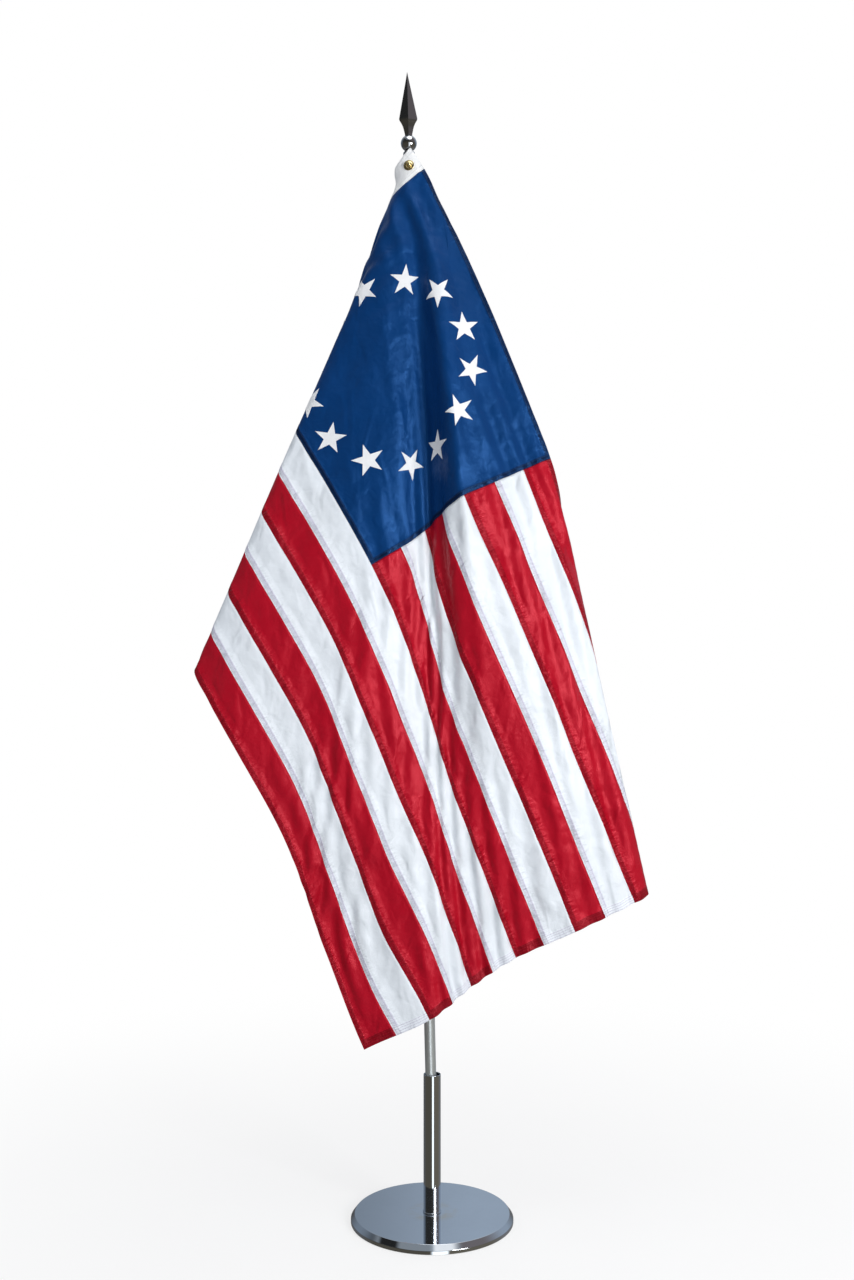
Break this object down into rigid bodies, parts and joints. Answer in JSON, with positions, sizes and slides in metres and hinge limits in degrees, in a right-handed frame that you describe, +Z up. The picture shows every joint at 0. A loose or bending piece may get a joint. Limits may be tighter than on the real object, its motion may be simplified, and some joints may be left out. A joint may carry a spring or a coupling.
{
  "type": "flag pole stand",
  "caption": "Indoor floor stand with a weighted round chrome base, a socket tube, a slim metal pole, a spear finial and a draped striped flag.",
  "frame": {"origin": "centre of the base's underside, on the floor", "axes": "+Z up, +X to the viewer's right, -Y towards the front, where the flag's outer layer is seen"},
  "size_m": [0.9206, 0.33, 2.3354],
  "materials": {
    "chrome": "polished chrome plate",
    "dark_chrome": "polished plate with dark reflections",
    "pole_steel": "satin, drawn along its length",
    "iron": "rough cast, painted",
    "zinc_steel": "zinc plated",
    "brass": "polished brass",
    "rubber": "matte black",
    "felt": "pressed felt",
    "canvas": "woven duck canvas",
    "red_nylon": "woven nylon with a satin sheen",
    "white_nylon": "woven nylon with a satin sheen",
    "blue_nylon": "woven nylon with a satin sheen"
  },
  "bodies": {
    "base": {"base_pad": "felt", "base_weight": "iron", "base_cover": "chrome", "base_bolt": "zinc_steel", "lock_washer": "zinc_steel", "flat_washer": "zinc_steel", "foot_ring": "chrome", "socket_tube": "chrome", "tube_plug": "zinc_steel", "socket_cushion": "rubber"},
    "pole_foot": {"pole_foot_cap": "rubber"},
    "lower_pole": {"lower_pole_tube": "pole_steel", "lower_insert": "zinc_steel"},
    "section_ring": {"joint_ring": "chrome"},
    "upper_pole": {"upper_pole_tube": "pole_steel", "joint_stud": "zinc_steel", "top_insert": "zinc_steel", "upper_collar": "chrome", "lower_collar": "chrome", "upper_set_screw": "zinc_steel", "lower_set_screw": "zinc_steel"},
    "lock_ring": {"finial_washer": "dark_chrome"},
    "finial": {"finial_ferrule": "dark_chrome", "finial_ball": "dark_chrome", "finial_spear": "dark_chrome", "finial_stud": "zinc_steel"},
    "flag": {"upper_flag_ring": "brass", "lower_flag_ring": "brass", "header": "canvas", "upper_grommet": "brass", "lower_grommet": "brass", "upper_grommet_washer": "brass", "lower_grommet_washer": "brass", "canton": "blue_nylon", "stripe_01": "red_nylon", "stripe_02": "white_nylon", "stripe_03": "red_nylon", "stripe_04": "white_nylon", "stripe_05": "red_nylon", "stripe_06": "white_nylon", "stripe_07": "red_nylon", "stripe_08": "white_nylon", "stripe_09": "red_nylon", "stripe_10": "white_nylon", "stripe_11": "red_nylon", "stripe_12": "white_nylon", "stripe_13": "red_nylon"}
  },
  "joints": [
    {"name": "pole_lift", "type": "slide", "parent": "base", "child": "pole_foot", "axis": [-0.0236, 0, 0.9997], "range_m": [0, 0.265]},
    {"name": "pole_turn", "type": "hinge", "parent": "pole_foot", "child": "lower_pole", "pos_m": [0.0033, 0, 0.038], "axis": [-0.0236, 0, 0.9997], "continuous": true},
    {"name": "section_rise", "type": "slide", "parent": "lower_pole", "child": "section_ring", "axis": [-0.0236, 0, 0.9997], "range_m": [0, 0.021]},
    {"name": "section_unscrew", "type": "hinge", "parent": "section_ring", "child": "upper_pole", "pos_m": [-0.02177, 0, 1.1017], "axis": [-0.0236, 0, 0.9997], "range_deg": [0, 4320]},
    {"name": "finial_rise", "type": "slide", "parent": "upper_pole", "child": "lock_ring", "axis": [-0.0236, 0, 0.9997], "range_m": [0, 0.015]},
    {"name": "finial_unscrew", "type": "hinge", "parent": "lock_ring", "child": "finial", "pos_m": [-0.0468, 0, 2.16391], "axis": [-0.0236, 0, 0.9997], "range_deg": [0, 4320]},
    {"name": "flag_swivel", "type": "hinge", "parent": "upper_pole", "child": "flag", "pos_m": [-0.0462, 0, 2.13842], "axis": [-0.0236, 0, 0.9997], "continuous": true}
  ],
  "couplings": [
    {"joint": "section_rise", "follows": "section_unscrew", "m_per_rad": 0.00027852},
    {"joint": "finial_rise", "follows": "finial_unscrew", "m_per_rad": 0.00019894}
  ]
}
